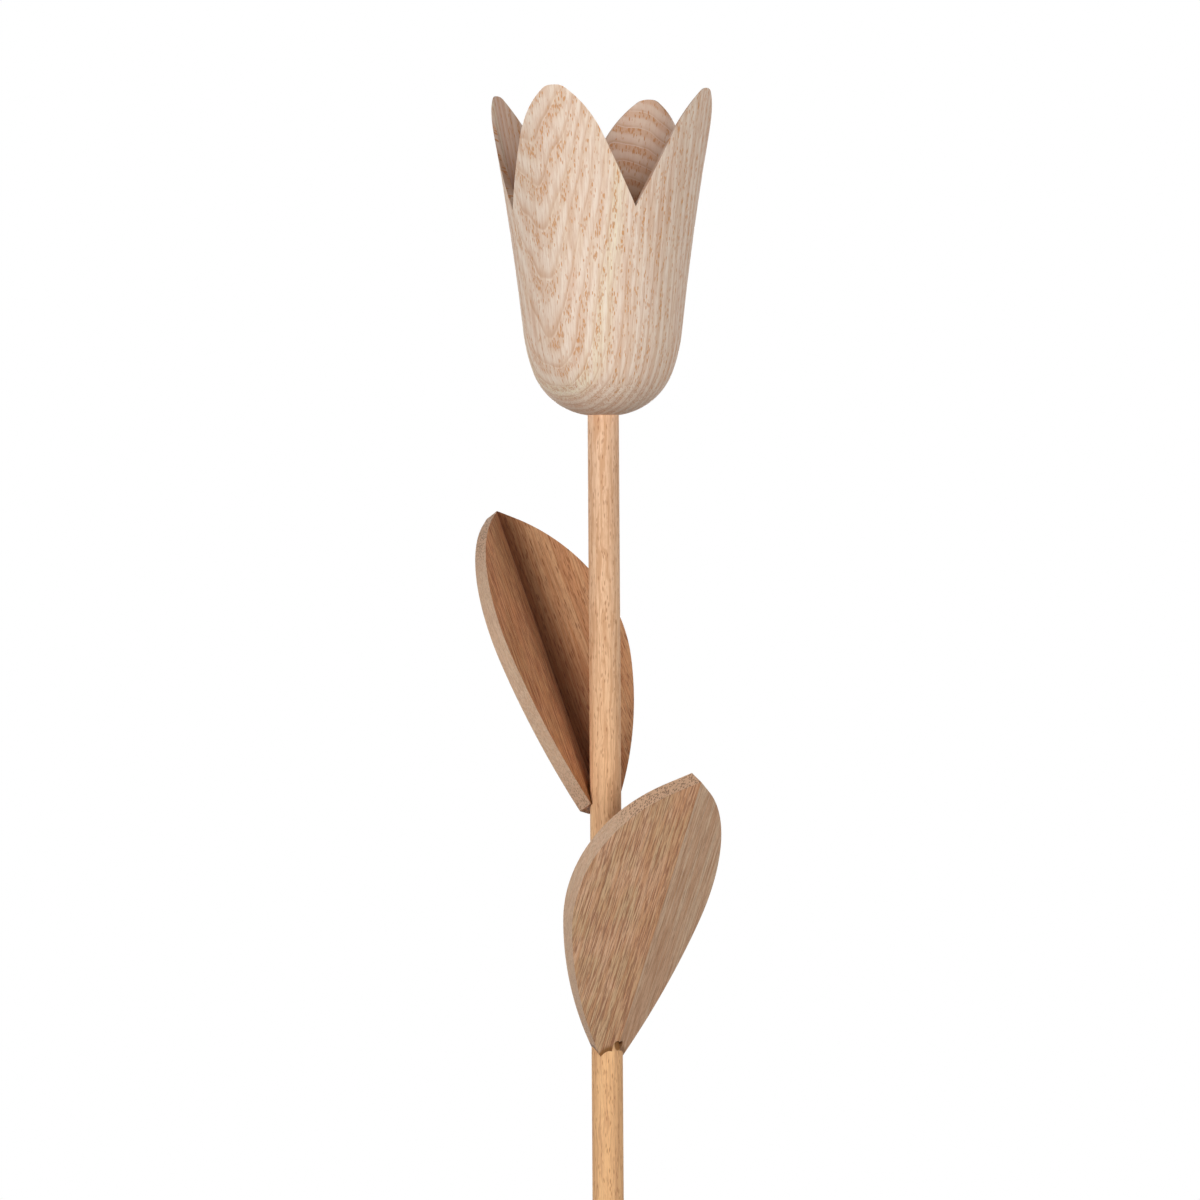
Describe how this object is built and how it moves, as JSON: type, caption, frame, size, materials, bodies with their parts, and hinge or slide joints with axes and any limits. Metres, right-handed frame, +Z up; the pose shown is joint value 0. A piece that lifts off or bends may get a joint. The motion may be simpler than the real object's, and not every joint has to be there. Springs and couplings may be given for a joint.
{
  "type": "wooden tulip",
  "caption": "Wooden tulip: a thin turned cup with sawn petals on a round dowel stem that carries folded, pointed leaves",
  "frame": {"origin": "the middle of the stem's foot, where the flower stands on the floor of its vase", "axes": "+Z runs up the stem to the petals, -Y is the front that the picture shows, +X is to the right"},
  "size_m": [0.0625, 0.0694, 0.4],
  "materials": {
    "ash": "raw, finely sanded",
    "beech": "raw, sanded dowel",
    "oak": "raw, sanded, edges as sawn"
  },
  "bodies": {
    "root": {"stem": "beech", "flower_cup": "ash", "lower_leaf": "oak", "upper_leaf": "oak"}
  },
  "joints": []
}
